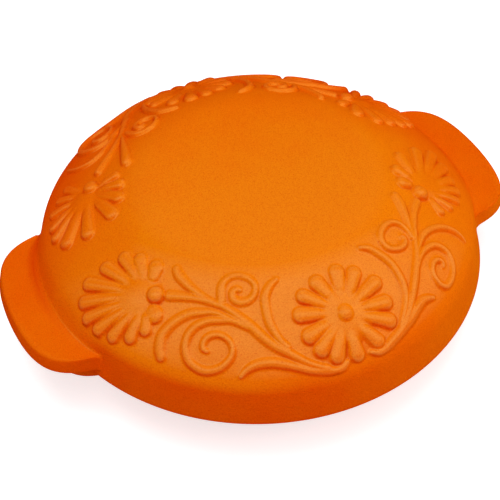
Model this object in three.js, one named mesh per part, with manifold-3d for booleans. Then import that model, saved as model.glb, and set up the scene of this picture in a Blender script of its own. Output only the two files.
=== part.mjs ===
// Round clay roaster: a bowl with two ears, and a domed lid whose skirt drops over the bowl's rim.
// Millimetres, +Z up. The origin is the centre of the bowl's underside and X runs through the ears.
import * as THREE from 'three';
import { mergeVertices } from 'three/addons/utils/BufferGeometryUtils.js';
import Module from 'manifold-3d';

const wasm = await Module();
wasm.setup();

// Lid, outside
const LID_RADIUS = 150; // at the lower edge
const LID_HEIGHT = 66.5; // lower edge to flat top
const LID_TOP_RADIUS = 80; // flat top
const LID_CREASE_HEIGHT = 25; // lower edge to the crease between wall and shoulder
const LID_WALL_LEAN = 5.5; // how far the wall leans in by the crease
const LID_SHOULDER_RISE = 17; // shoulder's control point above the crease
const LID_SHOULDER_LEAN = 12; // shoulder's control point inside the crease

// Lid, inside
const LID_WALL = 9; // skirt and top
const LID_SKIRT_DEPTH = 20; // lower edge to the ledge that sits on the bowl
const LID_HOLLOW_RISE = 25; // hollow's control point above the ledge
const LID_HOLLOW_LEAN = 7.5; // hollow's control point inside the ledge
const LID_HOLLOW_TOP_RADIUS = 72; // flat ceiling

// Bowl
const BOWL_HEIGHT = 72;
const BOWL_WALL = 9;
const BOWL_FLOOR = 9;
const BOWL_FOOT_RADIUS = 86; // flat underside
const BOWL_FLOOR_RADIUS = 80; // flat inside
const BOWL_ROUND_HEIGHT = 52; // how high the underside's round reaches

// Fit of the lid on the bowl
const SEAT_GAP = 0.3; // ledge over rim
const SKIRT_CLEARANCE = 1; // skirt round rim, all round

// Ears: chords are half widths, heights are the underside's place over the piece's lower edge
const LID_EAR = { reach: 24, rootHalf: 62, tipHalf: 46, corner: 15, height: 5, thickness: 11 };
const BOWL_EAR = { reach: 22, rootHalf: 42, tipHalf: 30, corner: 12, height: 31, thickness: 10 };
const EAR_ROOT_DEPTH = 30; // how far an ear is built into its piece before the hollow is cut
const EAR_EDGE = 4; // edge rounding

// Roundings and fineness
const LID_EDGE = 3;
const BOWL_EDGE = 3;
const CREASE_ROUND = 5; // length of wall and shoulder taken up by the crease
const CUT_MARGIN = 2; // how far a hollow's cutter runs past the open end
const TURN_STEPS = 64; // facets round the axis
const CURVE_STEPS = 8; // on long curves
const EDGE_STEPS = 3; // on small roundings

const CLAY = { lid: 0xe46d1b, bowl: 0xd8641c };
const CLAY_ROUGHNESS = 0.9;

// Sizes that follow from the ones above
const ledgeLean = (LID_WALL_LEAN * LID_SKIRT_DEPTH) / LID_CREASE_HEIGHT;
const skirtRadius = LID_RADIUS - LID_WALL;
const ledgeRadius = skirtRadius - ledgeLean;
const bowlRadius = ledgeRadius - SKIRT_CLEARANCE;
const bowlMouthRadius = bowlRadius - BOWL_WALL;
const creaseRadius = LID_RADIUS - LID_WALL_LEAN;
const lidPlace = BOWL_HEIGHT + SEAT_GAP - LID_SKIRT_DEPTH;

// A closed geometry as a solid for joining and cutting
function solid(geometry) {
  geometry.deleteAttribute('normal');
  geometry.deleteAttribute('uv');
  const merged = mergeVertices(geometry);
  const index = merged.index.array;
  const triangles = [];
  for (let i = 0; i < index.length; i += 3) {
    const [a, b, c] = index.slice(i, i + 3);
    if (a !== b && b !== c && c !== a) triangles.push(a, b, c);
  }
  const mesh = new wasm.Mesh({
    numProp: 3,
    vertProperties: new Float32Array(merged.attributes.position.array),
    triVerts: new Uint32Array(triangles),
  });
  return new wasm.Manifold(mesh);
}

// A solid as a named mesh
function piece(name, body, color) {
  const { vertProperties, triVerts } = body.getMesh();
  const geometry = new THREE.BufferGeometry();
  geometry.setAttribute('position', new THREE.BufferAttribute(vertProperties, 3));
  geometry.setIndex(new THREE.BufferAttribute(triVerts, 1));
  geometry.computeVertexNormals();
  const material = new THREE.MeshStandardMaterial({ color, roughness: CLAY_ROUGHNESS, metalness: 0 });
  const mesh = new THREE.Mesh(geometry, material);
  mesh.name = name;
  return mesh;
}

// A profile in radius and height, listed from the bottom of the axis to its top, turned about Z
function turned(profile) {
  return solid(new THREE.LatheGeometry(profile, TURN_STEPS).rotateX(Math.PI / 2));
}

function at(radius, height) {
  return new THREE.Vector2(radius, height);
}

// A corner between two points, rounded over the given length of each side
function rounded(before, corner, after, length) {
  const start = corner.clone().add(before.clone().sub(corner).setLength(length));
  const end = corner.clone().add(after.clone().sub(corner).setLength(length));
  return new THREE.QuadraticBezierCurve(start, corner, end).getPoints(EDGE_STEPS);
}

// A dome's flank from its foot to its flat top
function flank(foot, rise, lean, top) {
  const control = at(foot.x - lean, foot.y + rise);
  return new THREE.QuadraticBezierCurve(foot, control, top).getPoints(CURVE_STEPS);
}

// A quarter of an ellipse from a flat floor up into an upright wall
function bowlRound(floorRadius, floorHeight, wallRadius, wallHeight) {
  const curve = new THREE.EllipseCurve(
    floorRadius, wallHeight, wallRadius - floorRadius, wallHeight - floorHeight, -Math.PI / 2, 0);
  return curve.getPoints(CURVE_STEPS);
}

// Both ears of a piece whose wall has the given radius, as plates with rounded edges
function ears(ear, wallRadius) {
  const tipRadius = wallRadius + ear.reach;
  const tipAngle = Math.asin(ear.tipHalf / tipRadius);
  const arcAngle = tipAngle - ear.corner / tipRadius;
  const rootX = Math.sqrt(wallRadius ** 2 - ear.rootHalf ** 2);
  const root = at(rootX, ear.rootHalf);
  const tip = at(tipRadius * Math.cos(tipAngle), ear.tipHalf);
  const side = tip.clone().add(root.clone().sub(tip).setLength(ear.corner));
  const shape = new THREE.Shape();
  shape.moveTo(rootX - EAR_ROOT_DEPTH, -ear.rootHalf);
  shape.lineTo(root.x, -root.y);
  shape.lineTo(side.x, -side.y);
  shape.quadraticCurveTo(tip.x, -tip.y, tipRadius * Math.cos(arcAngle), -tipRadius * Math.sin(arcAngle));
  shape.absarc(0, 0, tipRadius, -arcAngle, arcAngle, false);
  shape.quadraticCurveTo(tip.x, tip.y, side.x, side.y);
  shape.lineTo(root.x, root.y);
  shape.lineTo(rootX - EAR_ROOT_DEPTH, ear.rootHalf);
  const plate = new THREE.ExtrudeGeometry(shape, {
    depth: ear.thickness - 2 * EAR_EDGE,
    bevelThickness: EAR_EDGE,
    bevelSize: EAR_EDGE,
    bevelOffset: -EAR_EDGE,
    bevelSegments: EDGE_STEPS,
    curveSegments: CURVE_STEPS,
  });
  plate.translate(0, 0, ear.height + EAR_EDGE);
  return solid(plate).add(solid(plate.clone().rotateZ(Math.PI)));
}

// Lid, in its own frame with Z = 0 at its lower edge
function lidBody() {
  const edge = at(LID_RADIUS, 0);
  const crease = at(creaseRadius, LID_CREASE_HEIGHT);
  const shoulder = flank(crease, LID_SHOULDER_RISE, LID_SHOULDER_LEAN, at(LID_TOP_RADIUS, LID_HEIGHT));
  const outside = turned([
    at(0, 0),
    ...rounded(at(0, 0), edge, crease, LID_EDGE),
    ...rounded(edge, crease, shoulder[1], CREASE_ROUND),
    ...shoulder.slice(1),
    at(0, LID_HEIGHT),
  ]);
  const foot = at(bowlMouthRadius, LID_SKIRT_DEPTH);
  const ceiling = at(LID_HOLLOW_TOP_RADIUS, LID_HEIGHT - LID_WALL);
  const mouthLean = (LID_WALL_LEAN * CUT_MARGIN) / LID_CREASE_HEIGHT;
  const hollow = turned([
    at(0, -CUT_MARGIN),
    at(skirtRadius + mouthLean, -CUT_MARGIN),
    at(ledgeRadius, LID_SKIRT_DEPTH),
    ...flank(foot, LID_HOLLOW_RISE, LID_HOLLOW_LEAN, ceiling),
    at(0, ceiling.y),
  ]);
  return outside.add(ears(LID_EAR, LID_RADIUS)).subtract(hollow);
}

function bowlBody() {
  const rimOutside = at(bowlRadius, BOWL_HEIGHT);
  const rimInside = at(bowlMouthRadius, BOWL_HEIGHT);
  const outerRound = bowlRound(BOWL_FOOT_RADIUS, 0, bowlRadius, BOWL_ROUND_HEIGHT);
  const innerRound = bowlRound(BOWL_FLOOR_RADIUS, BOWL_FLOOR, bowlMouthRadius, BOWL_ROUND_HEIGHT);
  const outside = turned([
    at(0, 0),
    ...outerRound,
    ...rounded(outerRound.at(-1), rimOutside, at(0, BOWL_HEIGHT), BOWL_EDGE),
    at(0, BOWL_HEIGHT),
  ]);
  const flare = at(bowlMouthRadius + BOWL_EDGE, BOWL_HEIGHT);
  const hollow = turned([
    at(0, BOWL_FLOOR),
    ...innerRound,
    ...rounded(innerRound.at(-1), rimInside, flare, BOWL_EDGE),
    at(flare.x, BOWL_HEIGHT + CUT_MARGIN),
    at(0, BOWL_HEIGHT + CUT_MARGIN),
  ]);
  return outside.add(ears(BOWL_EAR, bowlRadius)).subtract(hollow);
}

const bowl = piece('bowl', bowlBody(), CLAY.bowl);
const lid = piece('lid', lidBody(), CLAY.lid);
lid.position.z = lidPlace;

const roaster = new THREE.Group();
roaster.add(bowl, lid);
export default roaster;
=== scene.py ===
# Round clay roaster: an unglazed bowl under a domed lid with flowers and tendrils in relief.
import math

import bpy
import numpy as np
from mathutils import Matrix, Vector


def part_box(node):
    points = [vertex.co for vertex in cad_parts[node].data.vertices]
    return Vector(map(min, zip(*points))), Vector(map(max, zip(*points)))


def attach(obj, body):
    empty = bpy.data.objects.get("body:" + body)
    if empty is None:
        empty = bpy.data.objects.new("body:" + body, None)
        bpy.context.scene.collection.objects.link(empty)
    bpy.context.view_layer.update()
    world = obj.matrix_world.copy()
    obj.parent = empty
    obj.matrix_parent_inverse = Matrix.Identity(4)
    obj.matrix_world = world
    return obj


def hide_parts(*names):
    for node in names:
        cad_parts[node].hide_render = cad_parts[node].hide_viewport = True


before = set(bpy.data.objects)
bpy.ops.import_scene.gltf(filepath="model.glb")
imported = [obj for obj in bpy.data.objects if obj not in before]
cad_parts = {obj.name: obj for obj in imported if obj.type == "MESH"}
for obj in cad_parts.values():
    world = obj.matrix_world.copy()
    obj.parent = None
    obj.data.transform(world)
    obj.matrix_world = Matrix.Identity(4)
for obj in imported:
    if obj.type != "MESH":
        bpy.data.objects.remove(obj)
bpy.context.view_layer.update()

# Lengths are in millimetres until a mesh, material, lamp or camera is made
MM = 0.001

# Lid, outside: heights are above its lower edge, and its even rows end a little over that
LID_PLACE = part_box("lid")[0].z / MM
LID_HEIGHT = round(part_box("lid")[1].z / MM - LID_PLACE, 3)
LID_RADIUS = 150.6
LID_TOP_RADIUS = 80
LID_TOP_ROUND = 14
LID_CREASE_HEIGHT = 25
LID_CREASE_RADIUS = 144.5
LID_CREASE_ROUND = 4
LID_SHOULDER_RISE = 17
LID_SHOULDER_LEAN = 12
LID_EDGE = 1.2
LID_ROWS_END = 0.2

# Lid, inside: a skirt, a ledge over the bowl's rim and a hollow with a flat ceiling
LID_WALL = 9.6
LID_SKIRT_RADIUS = LID_RADIUS - LID_WALL
LID_SKIRT_DEPTH = 20
LID_LEDGE_RADIUS = 136.6
LID_HOLLOW_RISE = 25
LID_HOLLOW_LEAN = 7.5
LID_CEILING_RADIUS = 72
LID_CEILING_HEIGHT = LID_HEIGHT - LID_WALL
LID_HOLLOW_EDGE = 2
LID_LEDGE_EDGE = 1
LID_CEILING_EDGE = 4

# Bowl
BOWL_HEIGHT = round(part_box("bowl")[1].z / MM, 3)
BOWL_RADIUS = 135.6
BOWL_WALL = 9
BOWL_MOUTH_RADIUS = BOWL_RADIUS - BOWL_WALL
BOWL_FLOOR = 9
BOWL_FOOT_RADIUS = 86
BOWL_FLOOR_RADIUS = 80
BOWL_ROUND_HEIGHT = 52
BOWL_EDGE = 3

# Ears: tip and wall are radii, the root is half the width at the wall, the right and left ear
# are shifted along Y, the height is the underside's, and the wall above leans out by the slope
# over the rise before it meets the ear's top
LID_EAR = {
    "tip": 175.4, "wall": 147.6, "root": 59, "shift": (0.5, 3.2), "height": 7, "thickness": 10.5,
    "rise": 10.3, "slope": 3.2, "top_fillet": 2.2, "low_fillet": 1.5, "dish": 0.6, "edge": 1.8,
}
BOWL_EAR = {
    "tip": 157.6, "wall": 133.2, "root": 42, "shift": (0, 0), "height": 31, "thickness": 10,
    "rise": 5, "slope": 2, "top_fillet": 3, "low_fillet": 5, "dish": 0.4, "edge": 3,
}
EAR_SIDE_POWER = 5  # squareness of the outline
EAR_ROOT_BLEND = 5  # rounding between outline and wall
EAR_DRAWN_AT = 3  # bulge from which the section is full
EAR_SLOPE_POWER = 1.7  # how late the wall leans out
EAR_MARGIN = 1  # between the bowl's ears and the even rows below

# Painted shade in the valley between an ear's top and the wall: its tint, how far out over the ear it
# fades, and its share all along, with what is added towards the back and the left
VALLEY_SHADE = -0.75
VALLEY_REACH = 0.3
VALLEY_SHARE = 0.25
VALLEY_BACK = 1.2
VALLEY_LEFT = 0.25

# Fineness of the meshes: columns round the axis, steps along curves, and rows of an ear
FINE_COLUMNS = 1200
HALF_COLUMNS = FINE_COLUMNS // 2
QUARTER_COLUMNS = FINE_COLUMNS // 4
EIGHTH_COLUMNS = FINE_COLUMNS // 8
PROFILE_STEP = 0.2
STROKE_STEP = 1
SHOULDER_STEPS = 200
HOLLOW_STEPS = 14
EDGE_STEPS = 3
LID_EDGE_STEPS = 4
BOWL_ROUND_POINTS = 40
BOWL_ROUND_STRIDE = 3
EAR_ROWS = {"rise": 6, "valley": 6, "top": 9, "edge": 5, "under": 4, "low_fillet": 4}
LID_TRIANGLES = 190000

# Rings on flat faces, by radius and for the lid's top by columns too, and on the bowl's wall, by height
LID_TOP_RINGS = {EIGHTH_COLUMNS: (12, 26), QUARTER_COLUMNS: (40, 52), HALF_COLUMNS: (62, 70)}
LID_CEILING_RINGS = (54, 36, 18)
BOWL_FLAT_RINGS = (20, 40, 60)
BOWL_WALL_RINGS = (62, 56)

# Clay colours. The first two are the clay's own tones, and also stand for lit and shaded clay in painted
# light and shade; the third is painted shade and sand grains, the fourth a painted sheen and highlight, the
# last painted light
PALE = (0.85, 0.206, 0.002)
RED = (0.82, 0.075, 0.0003)
DEEP = (0.62, 0.03, 0.0001)
SHEEN = (0.9, 0.305, 0.051)
BRIGHT = (0.92, 0.25, 0.004)

# Directions that the clay changes in, which its painted light, shade and sheen follow
UP = (0, 0, 1)
FRONT = (-0.1, -0.995, 0)
SHEEN_SIDE = (-0.31, -0.95, 0)
RIGHT = (0.9, -0.43, 0)
LEFT = (-0.95, -0.31, 0)

# Spans of the clay: two values of a place, a facing, a tint or an amount, and what it gives at both
# where that isn't 0 and 1. Places are lengths along a direction, and facings are cosines to one
# Painted light and shade: the clay is paler on level faces, in front, facing left or right, and on walls
# facing right
PALE_BY_SLOPE = (0.62, 0.98, -0.4, 0.0)
PALE_BY_FRONT = (-75, 75, -0.34, 0.3)
PALE_OVER_EARS = (0.0, 1.0, 0.3, 1.0)
PALE_BY_LEFT = (0.45, 0.65, 0.0, 0.25)
PALE_BY_RIGHT = (0.5, 0.85, 0.0, 0.35)
WALL_BY_RIGHT = (0.2, 1.0, 0.08, 0.7)
WALL_TO_TOP = (0.3, 0.6)
# Painted sheen: a little on the flat top, more towards the front, and more on gentle slopes facing the
# front
TOP_SHEEN_BY_PLACE = (-80, 80, 0.0, 0.08)
TOP_SHEEN_BY_SLOPE = (0.94, 0.985)
SHEEN_BY_SIDE = (0.2, 0.42, 0.0, 0.55)
SHEEN_BY_SLOPE = (0.7, 0.84)
INNER_BY_AXIS = (0.25, -0.15)
INNER_BY_FRONT = (0.0, 0.25)
# Painted shade at the relief's feet, lighter where they face both the axis and the front
FOOT_BY_TINT = (-0.1, -0.6, 0.0, 0.64)
FOOT_BY_INNER = (0.0, 1.0, 1.0, 0.4)
# Painted highlights on the relief's crests, stronger towards the front
CREST_BY_TINT = (0.05, 0.55, 0.0, 0.6)
CREST_BY_PLACE = (0, 80, 0.35, 1.0)
# Painted light on relief sides that face both the axis and the front
LIT_BY_INNER = (0.0, 1.0, 0.0, 0.45)
LIT_BY_SLOPE = (0.985, 0.93)

# Heights over a piece's lowest clay: the band over the lid's ears, and the lower edge darkened as painted
# shade
EAR_BAND = (17.2, 18.5)
DARK_EDGE = 3
DARK_EDGE_AMOUNT = 0.35

# Paleness at a piece's lowest and highest clay, where the bowl's starts as if under the floor: painted
# shade that leaves lower clay redder
PALE_AMOUNTS = (0.2, 0.98)
BOWL_CLAY_LOW = -60

# Noise in the clay: scale, detail and roughness, and its span
MOTTLE = (26, 5.0, 0.6)
MOTTLE_SPAN = (0.3, 0.7, -0.1, 0.1)
SAND = (1300, 2.0, 0.7)
SAND_SPAN = (0.45, 0.75, 0.0, 0.46)
PITS = (1000, 2.0, 0.5)
PITS_SPAN = (0.66, 0.72, 0.0, 0.5)
MATT = (300, 3.0, 0.5)
MATT_SPAN = (0.3, 0.7, 0.82, 0.95)
GRAIN = (900, 4.0, 0.65)
GRAIN_DEPTH = 0.8

# Floor: a grey that shades, and a glow for the camera alone that makes it white
FLOOR_SIZE = 12000
FLOOR_COLOUR = (0.74, 0.74, 0.74)
FLOOR_ROUGHNESS = 0.9
FLOOR_GLOW = 0.66

# Camera and lamps, aimed at the middle of the lid's lower edge: azimuths run from front to right
AIM = Vector((0, 0, LID_PLACE * MM))
CAMERA_AZIMUTH = -25.3
CAMERA_ELEVATION = 46.71
CAMERA_ROLL = -1.3
CAMERA_DISTANCE = 900
CAMERA_LENS = 94.7
CAMERA_SHIFT = (-0.0168, -0.0118)
LAMP_DISTANCE = 1600
LAMPS = {
    "key": {"azimuth": -35, "elevation": 79, "diameter": 900, "watts": 14},
    "front": {"azimuth": -25, "elevation": 58, "diameter": 400, "watts": 3},
    "side": {"azimuth": 65, "elevation": 6, "diameter": 1200, "watts": 10},
}
WORLD_STRENGTH = 0.41

# Relief, drawn on the lid's outside flattened along its profile: it starts, gets twice the columns
# and ends at lengths from the axis, and a power sum merges its parts
RELIEF_START = 75
RELIEF_FINE = 88
RELIEF_END = 154
RELIEF_ROW = 0.56
RELIEF_BLUR = 1
RELIEF_MERGE = 6

# Tints of the relief, which paint shade at its feet and highlights on its crests: the painted shade at the
# feet is fainter on sides towards the axis, and gentle slopes are on neither side
TINT_BLUR = 7
FAINT_SHARE = 0.5
FAINT_FROM = -0.35
FLAT_SLOPE = 0.02

# Rounds are powers of a section, where 0.5 is half an ellipse and 1 is a parabola
STROKE_ROUND = 0.8
PETAL_ROUND = 0.5
BUTTON_ROUND = 0.5
DISC_ROUND = 1.0

# Strokes gain most of their height by about this half width, and all are a little wider than drawn
STROKE_FULL_HALF = 1.6
STROKE_WIDTH = 1.14

# Flowers: petals spread from a heart between the button and the disc's middle
BUTTON_RADIUS = 5.8
BUTTON_HEIGHT = 4.5
DISC_HEIGHT = 2.3
HEART_SHARE = 0.4

# A petal's root lies this far from the heart, and its stations are shares of the way to its end,
# of the tip's half width and of its height
PETAL_ROOT = 8
PETAL_STATIONS = ((0, 0.42, 0.35), (0.5, 0.82, 0.85), (1, 1, 1))

# Round flowers, whole: a petal's tip is x, y, half width and height
FRONT_DAISY = {
    "button": (1.6, -120.4), "disc": (1.6, -120.4, 20),
    "tips": [
        (9.1, -90.3, 5.3, 2.8), (21.2, -95.7, 5.0, 2.8), (33.3, -107.3, 5.0, 3.0),
        (35.3, -123.0, 5.1, 3.0), (32.8, -136.5, 5.2, 3.0), (18.1, -147.7, 5.2, 2.8),
        (-1.3, -151.2, 5.2, 2.8), (-16.7, -146.9, 5.2, 2.8), (-26.0, -138.0, 5.4, 3.0),
        (-30.4, -126.0, 5.3, 3.0), (-29.9, -109.6, 5.3, 3.0), (-21.8, -98.4, 4.8, 3.0),
        (-8.5, -92.4, 5.2, 2.8),
    ],
}
BACK_DAISY = {
    "button": (4.0, 123.0), "disc": (3.0, 122.0, 17),
    "tips": [
        (8.4, 92.1, 5.0, 3.0), (22.4, 97.4, 5.0, 3.0), (33.3, 108.3, 5.0, 3.0),
        (35.5, 123.5, 4.8, 3.2), (31.0, 139.5, 6.2, 4.1), (17.0, 149.5, 6.4, 3.7),
        (1.5, 152.5, 6.4, 3.4), (-14.0, 150.0, 6.2, 3.3), (-25.5, 140.0, 4.8, 3.2),
        (-31.5, 128.6, 5.0, 3.0), (-30.5, 116.4, 5.0, 3.0), (-19.5, 100.8, 5.2, 3.2),
        (-5.9, 91.8, 5.4, 3.4),
    ],
}
DAISIES = [FRONT_DAISY, BACK_DAISY]

# Strokes of the two front quarters, with x below 0 on both: x, y and half width at each point
LEFT_STROKES = {
    "stem": [
        (-91.3, -61.2, 3.1), (-85.1, -65.9, 2.8), (-76.6, -72.7, 2.4), (-68.7, -81.2, 2.2),
        (-63.7, -87.7, 2.3), (-56.5, -102.0, 3.0), (-51.5, -114.2, 3.0), (-47.0, -122.0, 2.9),
        (-42.0, -128.1, 2.8), (-37.3, -134.0, 2.6), (-32.9, -139.0, 2.4), (-27.4, -143.6, 2.3),
        (-21.5, -147.2, 2.2),
    ],
    "tail_leaf": [
        (-74.8, -127.8, 1.6), (-69.3, -126.2, 2.4), (-62.3, -126.5, 2.9), (-54.6, -129.1, 3.1),
        (-47.2, -133.5, 3.0), (-40.0, -138.8, 2.7), (-32.5, -144.2, 2.6), (-24.5, -148.0, 2.6),
        (-17.5, -150.2, 2.5), (-13.0, -150.2, 2.4), (-8.9, -148.2, 1.8),
    ],
    "inner_leaf": [
        (-28.6, -85.3, 1.5), (-32.7, -86.4, 2.2), (-37.6, -89.6, 2.7), (-41.0, -94.3, 2.9),
        (-44.2, -106.8, 2.8), (-43.2, -118.8, 2.4), (-40.7, -125.2, 2.4),
    ],
    "arched_leaf": [
        (-114.0, -91.0, 3.2), (-112.0, -86.2, 3.6), (-106.4, -80.2, 3.5), (-96.7, -77.6, 3.1),
        (-86.2, -78.3, 2.8), (-77.9, -82.1, 2.3), (-70.5, -87.0, 1.9), (-59.7, -100.4, 1.8),
    ],
    "bud_leaf": [
        (-79.5, -49.2, 2.8), (-79.8, -53.6, 3.2), (-78.2, -61.7, 2.8), (-75.2, -69.5, 2.2),
        (-71.2, -76.4, 1.6), (-66.5, -83.6, 1.3),
    ],
    "big_curl": [
        (-57.8, -104.0, 1.8), (-64.4, -95.7, 2.2), (-71.0, -91.7, 2.4), (-77.9, -88.3, 2.5),
        (-85.8, -87.3, 2.5), (-92.1, -89.2, 2.6), (-96.7, -93.4, 2.7), (-98.9, -98.0, 2.8),
        (-99.4, -104.0, 2.8), (-96.8, -110.2, 2.8), (-92.4, -114.6, 2.7), (-85.6, -117.0, 2.5),
        (-79.7, -116.6, 2.3), (-74.3, -114.2, 2.1), (-71.5, -110.0, 2.0), (-71.6, -105.1, 1.9),
        (-74.2, -100.5, 1.9), (-78.1, -97.7, 2.0), (-83.0, -97.0, 2.1), (-86.5, -98.9, 2.1),
        (-88.0, -101.9, 1.9), (-86.6, -104.2, 1.5),
    ],
    "small_curl": [
        (-64.6, -81.6, 2.7), (-62.9, -78.0, 2.9), (-60.6, -74.0, 2.7), (-57.1, -71.6, 2.3),
        (-52.9, -71.0, 2.1), (-48.2, -72.4, 2.0), (-44.8, -75.4, 2.0), (-42.6, -79.0, 2.0),
        (-42.1, -83.0, 2.0), (-43.8, -86.4, 2.1), (-46.9, -88.8, 2.2), (-51.0, -89.4, 2.4),
        (-55.4, -87.6, 2.6), (-57.2, -84.6, 2.7), (-57.0, -81.6, 2.5), (-55.5, -80.0, 2.2),
        (-53.3, -79.9, 2.0), (-51.6, -81.0, 1.6),
    ],
}
RIGHT_STROKES = {
    "stem": [
        (-87.2, -61.3, 3.2), (-80.3, -68.6, 3.0), (-75.0, -78.3, 2.4), (-73.2, -82.7, 2.2),
        (-70.2, -89.8, 2.1), (-66.0, -99.7, 2.3), (-58.9, -111.9, 2.8), (-51.9, -122.2, 2.7),
        (-42.5, -134.7, 2.8), (-32.8, -141.9, 2.8), (-21.4, -147.3, 2.2),
    ],
    "tail_leaf": [
        (-66.5, -127.7, 1.5), (-62.8, -127.4, 2.2), (-57.7, -128.0, 2.8), (-52.7, -130.5, 3.2),
        (-47.5, -134.2, 3.2), (-42.8, -137.9, 2.8), (-34.3, -142.7, 2.6), (-25.3, -147.0, 2.6),
        (-19.6, -149.1, 2.5), (-13.8, -149.8, 2.3), (-9.1, -148.1, 1.6),
    ],
    "inner_leaf": [
        (-29.5, -85.2, 1.5), (-33.5, -86.4, 2.0), (-36.6, -88.3, 2.3), (-40.4, -92.6, 2.5),
        (-43.2, -96.2, 2.5), (-46.1, -101.5, 2.5), (-47.5, -108.0, 2.6), (-48.0, -114.4, 2.5),
        (-46.7, -121.7, 2.4), (-43.4, -128.2, 2.3), (-39.3, -133.6, 2.1), (-34.6, -138.9, 1.6),
    ],
    "arched_leaf": [
        (-114.7, -92.9, 1.0), (-112.7, -89.6, 1.6), (-109.0, -85.9, 2.1), (-103.6, -83.1, 2.4),
        (-97.1, -81.7, 2.5), (-90.3, -82.0, 2.5), (-83.1, -83.9, 2.5), (-76.7, -87.6, 2.3),
        (-71.8, -92.7, 2.0), (-66.0, -99.7, 1.8),
    ],
    "bud_leaf": [
        (-72.8, -54.9, 3.0), (-73.1, -57.1, 3.3), (-73.3, -62.0, 3.3), (-72.8, -67.9, 2.8),
        (-72.0, -73.9, 2.3), (-69.6, -86.7, 1.5),
    ],
    "big_curl": [
        (-64.1, -105.7, 1.8), (-67.8, -101.0, 2.0), (-72.9, -97.0, 2.2), (-79.2, -94.6, 2.3),
        (-84.6, -94.1, 2.4), (-89.5, -96.2, 2.4), (-92.9, -100.7, 2.4), (-93.3, -106.8, 2.4),
        (-91.3, -112.8, 2.3), (-87.0, -118.6, 2.2), (-81.4, -122.2, 2.1), (-76.6, -120.8, 2.0),
        (-74.1, -116.6, 2.0), (-73.7, -111.6, 2.0), (-75.7, -107.3, 2.0), (-79.4, -104.6, 1.9),
        (-83.4, -104.6, 1.8), (-85.0, -106.8, 1.6), (-84.2, -109.4, 1.1),
    ],
    "small_curl": [
        (-68.6, -86.4, 1.4), (-68.5, -82.4, 1.8), (-66.2, -77.6, 2.0), (-63.1, -74.8, 2.1),
        (-59.1, -73.8, 2.1), (-54.6, -74.6, 2.2), (-50.4, -76.9, 2.3), (-47.3, -80.3, 2.3),
        (-46.2, -84.2, 2.3), (-46.8, -87.6, 2.3), (-48.9, -90.4, 2.2), (-52.4, -91.8, 2.1),
        (-56.4, -92.0, 2.1), (-60.1, -90.9, 2.1), (-62.6, -88.3, 2.0), (-63.0, -85.7, 1.8),
        (-61.8, -84.7, 1.3),
    ],
}

# Quarters, folded to x and y below 0: the strokes' full height, their moves, and a part flower
BACK_RIGHT = {
    "height": 3.2,
    "strokes": LEFT_STROKES,
    "moves": {
        "stem": (0, 1), "tail_leaf": (-5.5, 4), "inner_leaf": (1.5, 3), "arched_leaf": (-7, -3),
        "bud_leaf": (3.4, -4.3), "big_curl": (-5, 3.5), "small_curl": (-5, 1),
    },
    "flower": {
        "button": (-99, -55), "disc": (-110.5, -47.5, 14),
        "tips": [
            (-84.5, -42.0, 4.2, 2.8), (-90.5, -25.5, 5.2, 3.0), (-104.6, -16.4, 5.2, 3.0),
            (-117.8, -16.4, 5.0, 3.0), (-130.0, -17.4, 4.8, 2.8), (-140.8, -21.5, 4.8, 2.8),
            (-145.0, -32.5, 4.8, 3.0), (-146.0, -46.0, 4.8, 3.0), (-141.0, -58.5, 4.8, 3.2),
            (-132.5, -70.5, 4.8, 3.2), (-123.0, -78.5, 4.4, 3.2),
        ],
    },
}
BACK_LEFT = {
    "height": 3.2,
    "strokes": {
        **LEFT_STROKES,
        "arched_leaf": [
            (-106.0, -96.5, 1.3), (-100.0, -86.5, 1.7), (-91.5, -81.5, 1.8), (-82.0, -82.5, 1.8),
            (-74.0, -88.0, 1.6), (-66.0, -96.0, 1.3),
        ],
        "bud_leaf": [
            (-70.4, -53.0, 3.9), (-68.0, -62.0, 3.6), (-65.0, -74.0, 2.6), (-61.5, -88.0, 1.4),
        ],
    },
    "moves": {
        "stem": (1.6, -1.9), "inner_leaf": (10.5, -3.5), "big_curl": (9, -8), "small_curl": (7.1, -5),
    },
    "flower": {
        "button": (-99.8, -52.5), "disc": (-110, -45, 13),
        "tips": [
            (-78.0, -46.4, 3.5, 2.4), (-78.6, -33.8, 4.6, 2.8), (-84.8, -21.9, 4.8, 2.6),
            (-96.0, -12.2, 5.2, 2.4), (-118.6, -11.9, 5.4, 3.0), (-136.1, -20.3, 5.4, 3.0),
            (-141.2, -33.9, 4.2, 3.0), (-139.6, -45.4, 4.0, 3.0), (-134.8, -60.0, 4.0, 2.6),
            (-125.2, -69.4, 4.0, 2.2), (-115.4, -75.7, 4.0, 2.0),
        ],
    },
}
FRONT_LEFT = {
    "height": 2.0,
    "strokes": LEFT_STROKES,
    "moves": {},
    "flower": {
        "button": (-98.5, -55.7), "disc": (-110, -48, 17),
        "tips": [
            (-86.4, -36.4, 5.6, 2.4), (-94.7, -24.0, 5.0, 2.6), (-104.2, -15.6, 5.0, 2.5),
            (-119.3, -13.1, 5.0, 2.5), (-135.6, -14.8, 5.0, 2.5), (-145.2, -24.3, 5.0, 2.5),
            (-148.8, -36.4, 4.6, 2.5), (-146.4, -49.0, 4.8, 2.5), (-139.6, -61.5, 4.8, 2.5),
            (-129.0, -71.5, 4.8, 2.5), (-116.8, -74.7, 4.5, 2.5), (-105.6, -72.2, 5.7, 2.5),
        ],
    },
}
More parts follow.
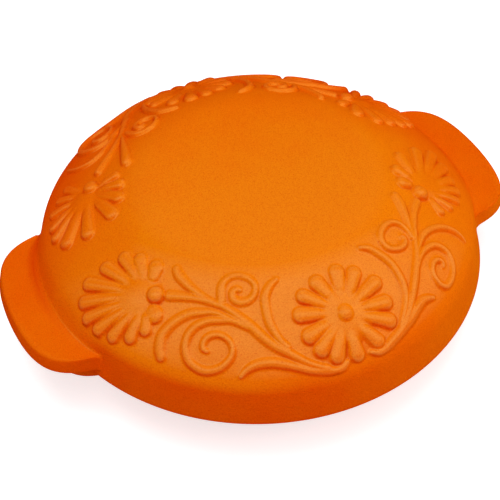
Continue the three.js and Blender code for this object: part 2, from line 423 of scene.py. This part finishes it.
FRONT_RIGHT = {
    "height": 2.6,
    "strokes": RIGHT_STROKES,
    "moves": {},
    "flower": {
        "button": (-94.2, -54.4), "disc": (-105, -46, 16),
        "tips": [
            (-80.3, -43.2, 4.6, 3.0), (-83.8, -30.5, 5.0, 3.2), (-96.9, -17.1, 4.8, 3.2),
            (-117.9, -10.8, 5.0, 3.2), (-133.6, -12.5, 5.0, 3.0), (-137.3, -25.4, 5.0, 2.8),
            (-136.0, -40.0, 4.6, 2.7), (-135.2, -51.0, 4.4, 2.6), (-129.0, -60.6, 4.0, 2.2),
            (-117.1, -68.0, 3.6, 2.2), (-104.9, -72.7, 3.5, 2.2),
        ],
    },
}
QUARTERS = [BACK_RIGHT, BACK_LEFT, FRONT_LEFT, FRONT_RIGHT]


# Curves and profiles

def smoothstep(x):
    x = np.clip(x, 0, 1)
    return x * x * (3 - 2 * x)


def bezier(start, control, end, steps):
    t = np.linspace(0, 1, steps + 1)[:, None]
    start, control, end = (np.array(point, float) for point in (start, control, end))
    return (1 - t) ** 2 * start + 2 * t * (1 - t) * control + t ** 2 * end


def towards(point, other, length):
    step = np.array(other, float) - np.array(point, float)
    return np.array(point, float) + step * length / np.hypot(*step)


def rounded(before, corner, after, length, steps=EDGE_STEPS):
    """A corner between two points, rounded over the length on both sides."""
    return bezier(towards(corner, before, length), corner, towards(corner, after, length), steps)


def spline(points):
    """A smooth line through the points, in short straight pieces."""
    p = np.array(points, float)
    p = np.vstack([2 * p[0] - p[1], p, 2 * p[-1] - p[-2]])
    line = []
    for a, b, c, d in zip(p, p[1:], p[2:], p[3:]):
        count = max(2, int(np.hypot(*(c - b)[:2]) / STROKE_STEP))
        t = np.linspace(0, 1, count, endpoint=False)[:, None]
        square = (2 * a - 5 * b + 4 * c - d) * t ** 2
        cube = (3 * b - a - 3 * c + d) * t ** 3
        line.append(0.5 * (2 * b + (c - a) * t + square + cube))
    return np.vstack(line + [p[-2:-1]])


def at_length(s, lengths, table):
    """The columns of a table that is listed by length, at the length s."""
    return np.array([np.interp(s, lengths, column) for column in table.T])


def softened(lengths, points, corner, reach):
    """A profile with the corner at that length along it rounded over the reach on both sides."""
    t = ((lengths - corner + reach) / (2 * reach))[:, None]
    start, control, end = (at_length(s, lengths, points) for s in (corner - reach, corner, corner + reach))
    curve = (1 - t) ** 2 * start + 2 * t * (1 - t) * control + t ** 2 * end
    return np.where((t > 0) & (t < 1), curve, points)


def lid_outside():
    """Lengths down the lid's outside from the axis, and the radius, height and outward normal at each."""
    top = (LID_TOP_RADIUS, LID_HEIGHT)
    crease = (LID_CREASE_RADIUS, LID_CREASE_HEIGHT)
    control = (LID_CREASE_RADIUS - LID_SHOULDER_LEAN, LID_CREASE_HEIGHT + LID_SHOULDER_RISE)
    shoulder = bezier(top, control, crease, SHOULDER_STEPS)
    line = np.vstack([[(0, LID_HEIGHT)], shoulder, [(LID_RADIUS, 0)]])
    corners = np.concatenate([[0], np.cumsum(np.hypot(*np.diff(line, axis=0).T))])
    lengths = np.arange(0, corners[-1], PROFILE_STEP)
    points = at_length(lengths, corners, line).T
    points = softened(lengths, points, LID_TOP_RADIUS, LID_TOP_ROUND)
    points = softened(lengths, points, corners[-2], LID_CREASE_ROUND)
    slope = np.gradient(points, axis=0)
    slope /= np.hypot(*slope.T)[:, None]
    return lengths, np.column_stack([points, -slope[:, 1], slope[:, 0]])


# Rings of points, each with its tint, and the meshes that join them

def column_angles(columns):
    return np.arange(columns) * 2 * np.pi / columns


def ring(radius, height, columns, tint=0.0):
    """Points round the axis as x, y, z and tint; all but the columns may differ from point to point."""
    angle = column_angles(columns)
    values = (radius * np.cos(angle), radius * np.sin(angle), height, tint)
    return np.stack([np.broadcast_to(value, columns) for value in values], 1)


def turned(profile, columns):
    return [ring(radius, height, columns) for radius, height in profile]


def pole(height):
    return np.array([[0, 0, height, 0]], float)


def join_rings(upper, lower):
    """Faces between two rings, given as first index and count; one may be a pole or twice as fine."""
    (a, n), (b, m) = upper, lower
    faces = []
    for i in range(max(n, m) if 1 in (n, m) else min(n, m)):
        after = i + 1
        if n == 1:
            faces.append((a, b + i, b + after % m))
        elif m == 1:
            faces.append((a + i, b, a + after % n))
        elif n == m:
            faces.append((a + i, b + i, b + after % m, a + after % n))
        elif m == 2 * n:
            faces.append((a + i, b + 2 * i, b + 2 * i + 1, b + 2 * after % m, a + after % n))
        else:
            faces.append((a + 2 * i, b + i, b + after % m, a + 2 * after % n, a + 2 * i + 1))
    return faces


def mesh_of_rings(name, rings, place=0.0):
    """A smooth closed mesh that joins each ring to the next, raised to its place."""
    starts = np.cumsum([0] + [len(points) for points in rings])
    spans = [(int(start), len(points)) for start, points in zip(starts, rings)]
    faces = [face for pair in zip(spans, spans[1:]) for face in join_rings(*pair)]
    table = np.vstack(rings)
    mesh = bpy.data.meshes.new(name)
    mesh.from_pydata(((table[:, :3] + (0, 0, place)) * MM).tolist(), [], faces)
    mesh.polygons.foreach_set("use_smooth", [True] * len(faces))
    mesh.attributes.new("tint", "FLOAT", "POINT").data.foreach_set("value", table[:, 3])
    obj = bpy.data.objects.new(name, mesh)
    bpy.context.scene.collection.objects.link(obj)
    return obj


def thinned(obj, triangles):
    """The object with its flattest edges collapsed until about that many triangles are left."""
    fine = obj.data
    modifier = obj.modifiers.new("thin", "DECIMATE")
    modifier.ratio = triangles / sum(len(face.vertices) - 2 for face in fine.polygons)
    obj.data = bpy.data.meshes.new_from_object(obj.evaluated_get(bpy.context.evaluated_depsgraph_get()))
    obj.modifiers.clear()
    bpy.data.meshes.remove(fine)
    return obj


# Ears

def ear_bulge(ear, root_radius, columns):
    """How far an ear stands out of the wall at each column, on both ends of X."""
    angle = column_angles(columns)
    from_x = np.minimum(angle % np.pi, -angle % np.pi) * np.sign(np.sin(angle))
    right, left = np.array(ear["shift"]) / root_radius
    middle = np.where(np.cos(angle) > 0, right, left)
    side = np.abs(from_x - middle) / math.asin(ear["root"] / root_radius)
    reach = (ear["tip"] - ear["wall"]) * (1 - side ** EAR_SIDE_POWER)
    blended = (reach + np.sqrt(reach ** 2 + EAR_ROOT_BLEND ** 2)) / 2
    return blended - EAR_ROOT_BLEND ** 2 / 4 / ear["tip"]


def ear_top(ear):
    """An ear's outline from the wall above it to its edge: share of its reach, height and tint, the painted
    valley shade.
    """
    reach = ear["tip"] - ear["wall"]
    top = ear["height"] + ear["thickness"]
    outline = []
    for t in np.linspace(0, 1 - ear["top_fillet"] / ear["rise"], EAR_ROWS["rise"]):
        start = (ear["slope"] * t ** EAR_SLOPE_POWER, top + ear["rise"] * (1 - t))
        outline.append((start[0] / reach, start[1], 0))
    corner = (ear["slope"], top)
    valley = rounded(start, corner, (reach, top), math.dist(start, corner), EAR_ROWS["valley"])
    for row, (radius, height) in enumerate(valley[1:], 1):
        outline.append((radius / reach, height, VALLEY_SHADE * row / EAR_ROWS["valley"]))
    inner = outline[-1][0]
    outer = 1 - ear["edge"] / reach
    for t in np.linspace(0, 1, EAR_ROWS["top"])[1:-1]:
        tint = VALLEY_SHADE * max(0, 1 - t / VALLEY_REACH)
        outline.append((inner + (outer - inner) * t, top - ear["dish"] * math.sin(math.pi * t), tint))
    return outline


def ear_underside(ear):
    """The rest of an ear's outline, round its edge and under it to the wall below."""
    reach = ear["tip"] - ear["wall"]
    low, top = ear["height"], ear["height"] + ear["thickness"]
    edge, fillet = ear["edge"], ear["low_fillet"]
    inner = fillet / reach
    outer = 1 - edge / reach
    outline = []
    for a in np.linspace(0, np.pi / 2, EAR_ROWS["edge"]):
        outline.append((1 - edge / reach * (1 - math.sin(a)), top - edge * (1 - math.cos(a)), 0))
    for a in np.linspace(0, np.pi / 2, EAR_ROWS["edge"]):
        outline.append((1 - edge / reach * (1 - math.cos(a)), low + edge * (1 - math.sin(a)), 0))
    for t in np.linspace(1, 0, EAR_ROWS["under"])[1:-1]:
        outline.append((inner + (outer - inner) * t, low, 0))
    for a in np.linspace(0, np.pi / 2, EAR_ROWS["low_fillet"]):
        outline.append((inner * (1 - math.sin(a)), low - fillet * (1 - math.cos(a)), 0))
    return outline


def eared_wall(ear, low, wall_radius, root_radius, columns):
    """Rings down a wall from the ears' rise to a low height, drawn out into the two ears, with painted
    shade in the valleys.
    """
    bulge = ear_bulge(ear, root_radius, columns)
    drawn = smoothstep(bulge / EAR_DRAWN_AT)
    angle = column_angles(columns)
    shade = drawn * smoothstep(VALLEY_SHARE + VALLEY_BACK * np.sin(angle) - VALLEY_LEFT * np.cos(angle))
    outline = ear_top(ear) + ear_underside(ear)
    plain = np.linspace(outline[0][1], low, len(outline) + 1)[:-1]
    rings = []
    for (share, height, tint), even in zip(outline, plain):
        z = even + (height - even) * drawn
        rings.append(ring(wall_radius(z) + share * bulge * drawn, z, columns, tint * shade))
    return rings


# Relief

def ridge(plan, line, power):
    """Height of a rounded ridge along a line of x, y, half width and height."""
    height = np.zeros(len(plan))
    for a, b in zip(line, line[1:]):
        reach = max(a[2], b[2])
        low = np.minimum(a[:2], b[:2]) - reach
        high = np.maximum(a[:2], b[:2]) + reach
        near = np.flatnonzero(((plan > low) & (plan < high)).all(1))
        length = np.hypot(*(b - a)[:2])
        from_a = plan[near] - a[:2]
        along = from_a @ (b - a)[:2] / length
        across = (from_a ** 2).sum(1) - along ** 2
        taper = (b[2] - a[2]) / length
        least_width = a[2] / 10
        width = np.maximum(a[2] + taper * along, least_width)
        t = np.clip(along + taper * across / width, 0, length)
        width = a[2] + taper * t
        crest = a[3] + (b[3] - a[3]) * t / length
        inside = np.clip(1 - ((along - t) ** 2 + across) / width ** 2, 0, 1)
        height[near] = np.maximum(height[near], crest * inside ** power)
    return height


def dome(plan, centre, radius, height, power):
    away = ((plan - np.array(centre)) ** 2).sum(1)
    return height * np.clip(1 - away / radius ** 2, 0, 1) ** power


def stroke(plan, points, move, full_height):
    """A tendril or leaf, which is higher where it is wider."""
    line = spline([(x + move[0], y + move[1], half * STROKE_WIDTH) for x, y, half in points])
    height = full_height * (1 - np.exp(-line[:, 2] / STROKE_FULL_HALF))
    return ridge(plan, np.column_stack([line, height]), STROKE_ROUND)


def petal(plan, heart, tip, half, height):
    """A petal that widens and rises from its root to its tip."""
    end = towards(tip, heart, half)
    root = towards(heart, end, PETAL_ROOT)
    line = []
    for way, width, rise in PETAL_STATIONS:
        line.append((*(root + way * (end - root)), width * half, rise * height))
    return ridge(plan, np.array(line), PETAL_ROUND)


def flower(plan, button, disc, tips):
    """A button on a shallow disc, with a petal to each tip."""
    button, disc, disc_radius = np.array(button), np.array(disc[:2]), disc[2]
    heart = button + HEART_SHARE * (disc - button)
    parts = [
        dome(plan, button, BUTTON_RADIUS, BUTTON_HEIGHT, BUTTON_ROUND),
        dome(plan, disc, disc_radius, DISC_HEIGHT, DISC_ROUND),
    ]
    for x, y, half, height in tips:
        parts.append(petal(plan, heart, (x, y), half, height))
    return parts


def relief(plan, quarter):
    """Height of the ornament at points of one quarter, blended where its parts meet."""
    folded = -np.abs(plan)
    parts = flower(folded, **quarter["flower"])
    for name, points in quarter["strokes"].items():
        parts.append(stroke(folded, points, quarter["moves"].get(name, (0, 0)), quarter["height"]))
    for daisy in DAISIES:
        parts += flower(plan, **daisy)
    return sum(part ** RELIEF_MERGE for part in parts) ** (1 / RELIEF_MERGE)


def relief_heights(lengths, columns):
    """Relief height at each length along the lid's profile, on columns round the axis."""
    angles = column_angles(columns).reshape(len(QUARTERS), -1)
    heights = []
    for quarter, angle in zip(QUARTERS, angles):
        plan = np.stack([np.outer(lengths, np.cos(angle)), np.outer(lengths, np.sin(angle))], -1)
        heights.append(relief(plan.reshape(-1, 2), quarter).reshape(len(lengths), -1))
    return np.hstack(heights)


def blurred(field, passes):
    """Rows and columns evened out with their neighbours, round the axis."""
    for _ in range(passes):
        field = (np.roll(field, 1, 1) + 2 * field + np.roll(field, -1, 1)) / 4
        padded = np.pad(field, ((1, 1), (0, 0)), "edge")
        field = (padded[:-2] + 2 * field + padded[2:]) / 4
    return field


def relief_tints(heights, lengths):
    """How far each point lies above its surroundings, for painted shade at feet and highlights on crests,
    feet fainter towards the axis.
    """
    around = blurred(heights, TINT_BLUR)
    step = 2 * np.pi / heights.shape[1]
    outward = np.gradient(around, lengths, axis=0)
    sideways = (np.roll(around, -1, 1) - np.roll(around, 1, 1)) / (2 * step * lengths[:, None])
    inner_side = outward / (np.hypot(outward, sideways) + FLAT_SLOPE)
    tints = heights - around
    faint = 1 - FAINT_SHARE * smoothstep(inner_side - FAINT_FROM)
    return np.where(tints < 0, tints * faint, tints)


def relief_rings(first, last, columns, lengths, profile):
    """Rings between two lengths down the lid's profile, raised along its normal by the relief."""
    rows = np.arange(first, last, RELIEF_ROW)
    heights = blurred(relief_heights(rows, columns), RELIEF_BLUR)
    rings = []
    for s, height, tint in zip(rows, heights, relief_tints(heights, rows)):
        radius, z, out, up = at_length(s, lengths, profile)
        rings.append(ring(radius + height * out, z + height * up, columns, tint))
    return rings


# The two pieces

def lid_underside(wall_radius):
    """The lid's profile from the foot of its wall, round the lower edge and up to the flat ceiling."""
    wall = (wall_radius(LID_EDGE), LID_EDGE)
    edge = (LID_RADIUS, 0)
    skirt = (LID_SKIRT_RADIUS, 0)
    ledge = (LID_LEDGE_RADIUS, LID_SKIRT_DEPTH)
    foot = (BOWL_MOUTH_RADIUS, LID_SKIRT_DEPTH)
    control = (BOWL_MOUTH_RADIUS - LID_HOLLOW_LEAN, LID_SKIRT_DEPTH + LID_HOLLOW_RISE)
    ceiling = (LID_CEILING_RADIUS, LID_CEILING_HEIGHT)
    hollow = bezier(foot, control, ceiling, HOLLOW_STEPS)
    return [
        *rounded(wall, edge, skirt, LID_EDGE, LID_EDGE_STEPS)[1:],
        *rounded(edge, skirt, ledge, LID_HOLLOW_EDGE),
        *rounded(skirt, ledge, foot, LID_LEDGE_EDGE),
        *rounded(ledge, foot, hollow[1], LID_HOLLOW_EDGE),
        *hollow[2:-1],
        *rounded(hollow[-2], ceiling, (0, LID_CEILING_HEIGHT), LID_CEILING_EDGE),
    ]


def make_lid():
    lengths, profile = lid_outside()

    def wall_radius(height):
        return np.interp(height, profile[::-1, 1], profile[::-1, 0])

    rings = [pole(LID_HEIGHT)]
    for columns, places in LID_TOP_RINGS.items():
        rings += turned([at_length(s, lengths, profile)[:2] for s in places], columns)
    rings += relief_rings(RELIEF_START, RELIEF_FINE, HALF_COLUMNS, lengths, profile)
    rings += relief_rings(RELIEF_FINE, RELIEF_END, FINE_COLUMNS, lengths, profile)
    rings += eared_wall(LID_EAR, LID_ROWS_END, wall_radius, LID_RADIUS, HALF_COLUMNS)
    rings += turned(lid_underside(wall_radius), QUARTER_COLUMNS)
    rings += [ring(radius, LID_CEILING_HEIGHT, EIGHTH_COLUMNS) for radius in LID_CEILING_RINGS]
    rings.append(pole(LID_CEILING_HEIGHT))
    return thinned(mesh_of_rings("roaster_lid", rings, LID_PLACE), LID_TRIANGLES)


def bowl_round(floor_radius, floor_height, wall_radius):
    """A quarter of an ellipse from a flat floor up into an upright wall."""
    turn = np.linspace(-np.pi / 2, 0, BOWL_ROUND_POINTS)
    radius = floor_radius + (wall_radius - floor_radius) * np.cos(turn)
    height = BOWL_ROUND_HEIGHT + (BOWL_ROUND_HEIGHT - floor_height) * np.sin(turn)
    return np.stack([radius, height], 1)


def make_bowl():
    outer = bowl_round(BOWL_FOOT_RADIUS, 0, BOWL_RADIUS)
    inner = bowl_round(BOWL_FLOOR_RADIUS, BOWL_FLOOR, BOWL_MOUTH_RADIUS)[::BOWL_ROUND_STRIDE]

    def wall_radius(height):
        return np.interp(height, outer[:, 1], outer[:, 0])

    rim_out, rim_in = (BOWL_RADIUS, BOWL_HEIGHT), (BOWL_MOUTH_RADIUS, BOWL_HEIGHT)
    ear_low = BOWL_EAR["height"] - BOWL_EAR["low_fillet"] - EAR_MARGIN
    below_ears = [point for point in outer[::-BOWL_ROUND_STRIDE] if point[1] < ear_low - EAR_MARGIN]
    rings = [pole(BOWL_FLOOR)]
    rings += [ring(radius, BOWL_FLOOR, EIGHTH_COLUMNS) for radius in BOWL_FLAT_RINGS]
    rings += turned(inner, QUARTER_COLUMNS)
    rings += turned(rounded(inner[-1], rim_in, rim_out, BOWL_EDGE), QUARTER_COLUMNS)
    rings += turned(rounded(rim_in, rim_out, outer[-1], BOWL_EDGE), QUARTER_COLUMNS)
    rings += [ring(BOWL_RADIUS, height, QUARTER_COLUMNS) for height in BOWL_WALL_RINGS]
    rings += eared_wall(BOWL_EAR, ear_low, wall_radius, BOWL_RADIUS, HALF_COLUMNS)
    rings += turned(below_ears, QUARTER_COLUMNS)
    rings += [ring(radius, 0, EIGHTH_COLUMNS) for radius in reversed(BOWL_FLAT_RINGS)]
    rings.append(pole(0))
    return mesh_of_rings("roaster_bowl", rings)


# Materials

class ClayNodes:
    """A new material, and the nodes that its colour is worked out with."""

    def __init__(self, name):
        self.material = bpy.data.materials.new(name)
        self.material.use_nodes = True
        self.tree = self.material.node_tree
        self.shader = self.tree.nodes["Principled BSDF"]
        self.place = self.add("ShaderNodeTexCoord").outputs["Object"]
        self.normal = self.add("ShaderNodeNewGeometry").outputs["Normal"]

    def add(self, kind, *sources, **settings):
        """A new node with those settings, whose first inputs are linked to the sources."""
        node = self.tree.nodes.new(kind)
        for setting, value in settings.items():
            setattr(node, setting, value)
        for socket, source in zip(node.inputs, sources):
            self.tree.links.new(source, socket)
        return node

    def noise(self, scale, detail, roughness):
        node = self.add("ShaderNodeTexNoise", self.place)
        node.inputs["Scale"].default_value = scale
        node.inputs["Detail"].default_value = detail
        node.inputs["Roughness"].default_value = roughness
        return node.outputs["Fac"]

    def span(self, value, low, high, at_low=0.0, at_high=1.0):
        """An amount that runs evenly between two values and stays as it is beyond them."""
        node = self.add("ShaderNodeMapRange", value)
        for socket, number in zip(node.inputs[1:5], (low, high, at_low, at_high)):
            socket.default_value = number
        return node.outputs[0]

    def along(self, vector, direction):
        node = self.add("ShaderNodeVectorMath", vector, operation="DOT_PRODUCT")
        node.inputs[1].default_value = direction
        return node.outputs["Value"]

    def by_place(self, direction, low, high, *amounts):
        """A span by how far the place lies along a direction."""
        return self.span(self.along(self.place, direction), low * MM, high * MM, *amounts)

    def by_facing(self, direction, *values):
        """A span by how far the surface faces a direction."""
        return self.span(self.along(self.normal, direction), *values)

    def by_outward(self, *values):
        """A span by how far the surface faces away from the axis."""
        level = self.add("ShaderNodeVectorMath", self.place, operation="MULTIPLY")
        level.inputs[1].default_value = (1, 1, 0)
        unit = self.add("ShaderNodeVectorMath", level.outputs[0], operation="NORMALIZE")
        node = self.add("ShaderNodeVectorMath", unit.outputs[0], self.normal, operation="DOT_PRODUCT")
        return self.span(node.outputs["Value"], *values)

    def total(self, first, *others):
        for other in others:
            first = self.add("ShaderNodeMath", first, other, operation="ADD").outputs[0]
        return first

    def product(self, first, second):
        return self.add("ShaderNodeMath", first, second, operation="MULTIPLY").outputs[0]

    def mixed(self, amount, first, second):
        """The first colour with an amount of the second."""
        node = self.add("ShaderNodeMix", amount, data_type="RGBA")
        for socket, colour in ((node.inputs["A"], first), (node.inputs["B"], second)):
            if isinstance(colour, tuple):
                socket.default_value = (*colour, 1)
            else:
                self.tree.links.new(colour, socket)
        return node.outputs["Result"]


def lit_and_mottled_clay(nodes, low, high, over_ears):
    """Mottled clay with painted light and shade: tops pale upwards, on level faces, in front and at the
    sides, walls to the right.
    """
    spots = nodes.span(nodes.noise(*MOTTLE), *MOTTLE_SPAN)
    by_height = nodes.by_place(UP, low, high, *PALE_AMOUNTS)
    by_slope = nodes.by_facing(UP, *PALE_BY_SLOPE)
    by_front = nodes.product(nodes.by_place(FRONT, *PALE_BY_FRONT), nodes.span(over_ears, *PALE_OVER_EARS))
    by_left = nodes.by_facing(LEFT, *PALE_BY_LEFT)
    by_right = nodes.by_facing(RIGHT, *PALE_BY_RIGHT)
    top = nodes.mixed(nodes.total(by_height, by_slope, by_front, by_left, by_right, spots), RED, PALE)
    wall = nodes.mixed(nodes.total(nodes.by_facing(RIGHT, *WALL_BY_RIGHT), spots), RED, PALE)
    return nodes.mixed(nodes.by_facing(UP, *WALL_TO_TOP), wall, top)


def sheened_clay(nodes, colour, over_ears):
    """Painted sheen on gentle slopes that face the front, and a thinner painted sheen on the flat top."""
    front_sheen = nodes.product(nodes.by_facing(SHEEN_SIDE, *SHEEN_BY_SIDE), nodes.by_facing(UP, *SHEEN_BY_SLOPE))
    top_sheen = nodes.product(nodes.by_place(SHEEN_SIDE, *TOP_SHEEN_BY_PLACE), nodes.by_facing(UP, *TOP_SHEEN_BY_SLOPE))
    return nodes.mixed(nodes.product(nodes.total(front_sheen, top_sheen), over_ears), colour, SHEEN)


def tinted_clay(nodes, colour):
    """Painted shade at the relief's feet, painted highlights on crests, painted light where it faces the
    axis and front.
    """
    tint = nodes.add("ShaderNodeAttribute", attribute_name="tint").outputs["Fac"]
    inner = nodes.product(nodes.by_outward(*INNER_BY_AXIS), nodes.by_facing(FRONT, *INNER_BY_FRONT))
    foot = nodes.product(nodes.span(tint, *FOOT_BY_TINT), nodes.span(inner, *FOOT_BY_INNER))
    crest_highlight = nodes.product(nodes.span(tint, *CREST_BY_TINT), nodes.by_place(SHEEN_SIDE, *CREST_BY_PLACE))
    lit = nodes.product(nodes.span(inner, *LIT_BY_INNER), nodes.by_facing(UP, *LIT_BY_SLOPE))
    colour = nodes.mixed(foot, colour, DEEP)
    colour = nodes.mixed(crest_highlight, colour, SHEEN)
    return nodes.mixed(lit, colour, BRIGHT)


def sandy_clay(nodes, colour):
    """Grains of sand and small pits."""
    colour = nodes.mixed(nodes.span(nodes.noise(*SAND), *SAND_SPAN), colour, DEEP)
    return nodes.mixed(nodes.span(nodes.noise(*PITS), *PITS_SPAN), colour, DEEP)


def clay(name, low, high):
    """Unglazed clay that pales from one height over the floor to another, in painted light and shade."""
    nodes = ClayNodes(name)
    over_ears = nodes.by_place(UP, low + EAR_BAND[0], low + EAR_BAND[1])
    colour = lit_and_mottled_clay(nodes, low, high, over_ears)
    colour = sheened_clay(nodes, colour, over_ears)
    colour = tinted_clay(nodes, colour)
    # Painted shade along the lowest clay
    colour = nodes.mixed(nodes.by_place(UP, low + DARK_EDGE, low, 0.0, DARK_EDGE_AMOUNT), colour, DEEP)
    colour = sandy_clay(nodes, colour)
    bump = nodes.add("ShaderNodeBump")
    bump.inputs["Strength"].default_value = 1.0
    bump.inputs["Distance"].default_value = GRAIN_DEPTH * MM
    links = nodes.tree.links
    links.new(nodes.noise(*GRAIN), bump.inputs["Height"])
    links.new(colour, nodes.shader.inputs["Base Color"])
    links.new(nodes.span(nodes.noise(*MATT), *MATT_SPAN), nodes.shader.inputs["Roughness"])
    links.new(bump.outputs["Normal"], nodes.shader.inputs["Normal"])
    nodes.shader.inputs["Specular IOR Level"].default_value = 0.0
    return nodes.material


def floor_material():
    """A matt floor that glows for the camera alone."""
    material = bpy.data.materials.new("floor")
    material.use_nodes = True
    nodes, links = material.node_tree.nodes, material.node_tree.links
    shader = nodes["Principled BSDF"]
    shader.inputs["Base Color"].default_value = (*FLOOR_COLOUR, 1)
    shader.inputs["Roughness"].default_value = FLOOR_ROUGHNESS
    shader.inputs["Specular IOR Level"].default_value = 0.0
    shader.inputs["Emission Color"].default_value = (1, 1, 1, 1)
    rays = nodes.new("ShaderNodeLightPath")
    glow = nodes.new("ShaderNodeMath")
    glow.operation = "MULTIPLY"
    glow.inputs[1].default_value = FLOOR_GLOW
    links.new(rays.outputs["Is Camera Ray"], glow.inputs[0])
    links.new(glow.outputs[0], shader.inputs["Emission Strength"])
    return material


# Floor, light and camera

def add_floor():
    bpy.ops.mesh.primitive_plane_add(size=FLOOR_SIZE * MM)
    floor = bpy.context.object
    floor.name = "floor"
    floor.data.materials.append(floor_material())


def place_round_aim(azimuth, elevation, distance):
    a, e = math.radians(azimuth), math.radians(elevation)
    away = Vector((math.sin(a) * math.cos(e), -math.cos(a) * math.cos(e), math.sin(e)))
    return AIM + distance * MM * away


def turn_to_aim(place):
    return (AIM - place).to_track_quat("-Z", "Y")


def add_lamp(name, azimuth, elevation, diameter, watts):
    data = bpy.data.lights.new(name, "AREA")
    data.shape = "DISK"
    data.size = diameter * MM
    data.energy = watts
    lamp = bpy.data.objects.new(name, data)
    lamp.location = place_round_aim(azimuth, elevation, LAMP_DISTANCE)
    lamp.rotation_euler = turn_to_aim(lamp.location).to_euler()
    bpy.context.scene.collection.objects.link(lamp)


def add_lights():
    for name, values in LAMPS.items():
        add_lamp(name, **values)
    world = bpy.data.worlds.new("studio")
    world.use_nodes = True
    background = world.node_tree.nodes["Background"]
    background.inputs["Color"].default_value = (1, 1, 1, 1)
    background.inputs["Strength"].default_value = WORLD_STRENGTH
    bpy.context.scene.world = world


def add_camera():
    data = bpy.data.cameras.new("camera")
    data.lens = CAMERA_LENS
    data.shift_x, data.shift_y = CAMERA_SHIFT
    camera = bpy.data.objects.new("camera", data)
    camera.location = place_round_aim(CAMERA_AZIMUTH, CAMERA_ELEVATION, CAMERA_DISTANCE)
    roll = Matrix.Rotation(math.radians(CAMERA_ROLL), 3, "Z")
    camera.rotation_euler = (turn_to_aim(camera.location).to_matrix() @ roll).to_euler()
    bpy.context.scene.collection.objects.link(camera)
    bpy.context.scene.camera = camera


add_camera()
lid = make_lid()
bowl = make_bowl()
lid_clay = clay("lid_clay", LID_PLACE, LID_PLACE + LID_HEIGHT)
bowl_clay = clay("bowl_clay", BOWL_CLAY_LOW, BOWL_HEIGHT)
for piece, node, material in ((lid, "lid", lid_clay), (bowl, "bowl", bowl_clay)):
    piece.data.materials.append(material)
    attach(piece, node)
    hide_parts(node)
add_floor()
add_lights()
bpy.context.scene.view_settings.view_transform = "Standard"
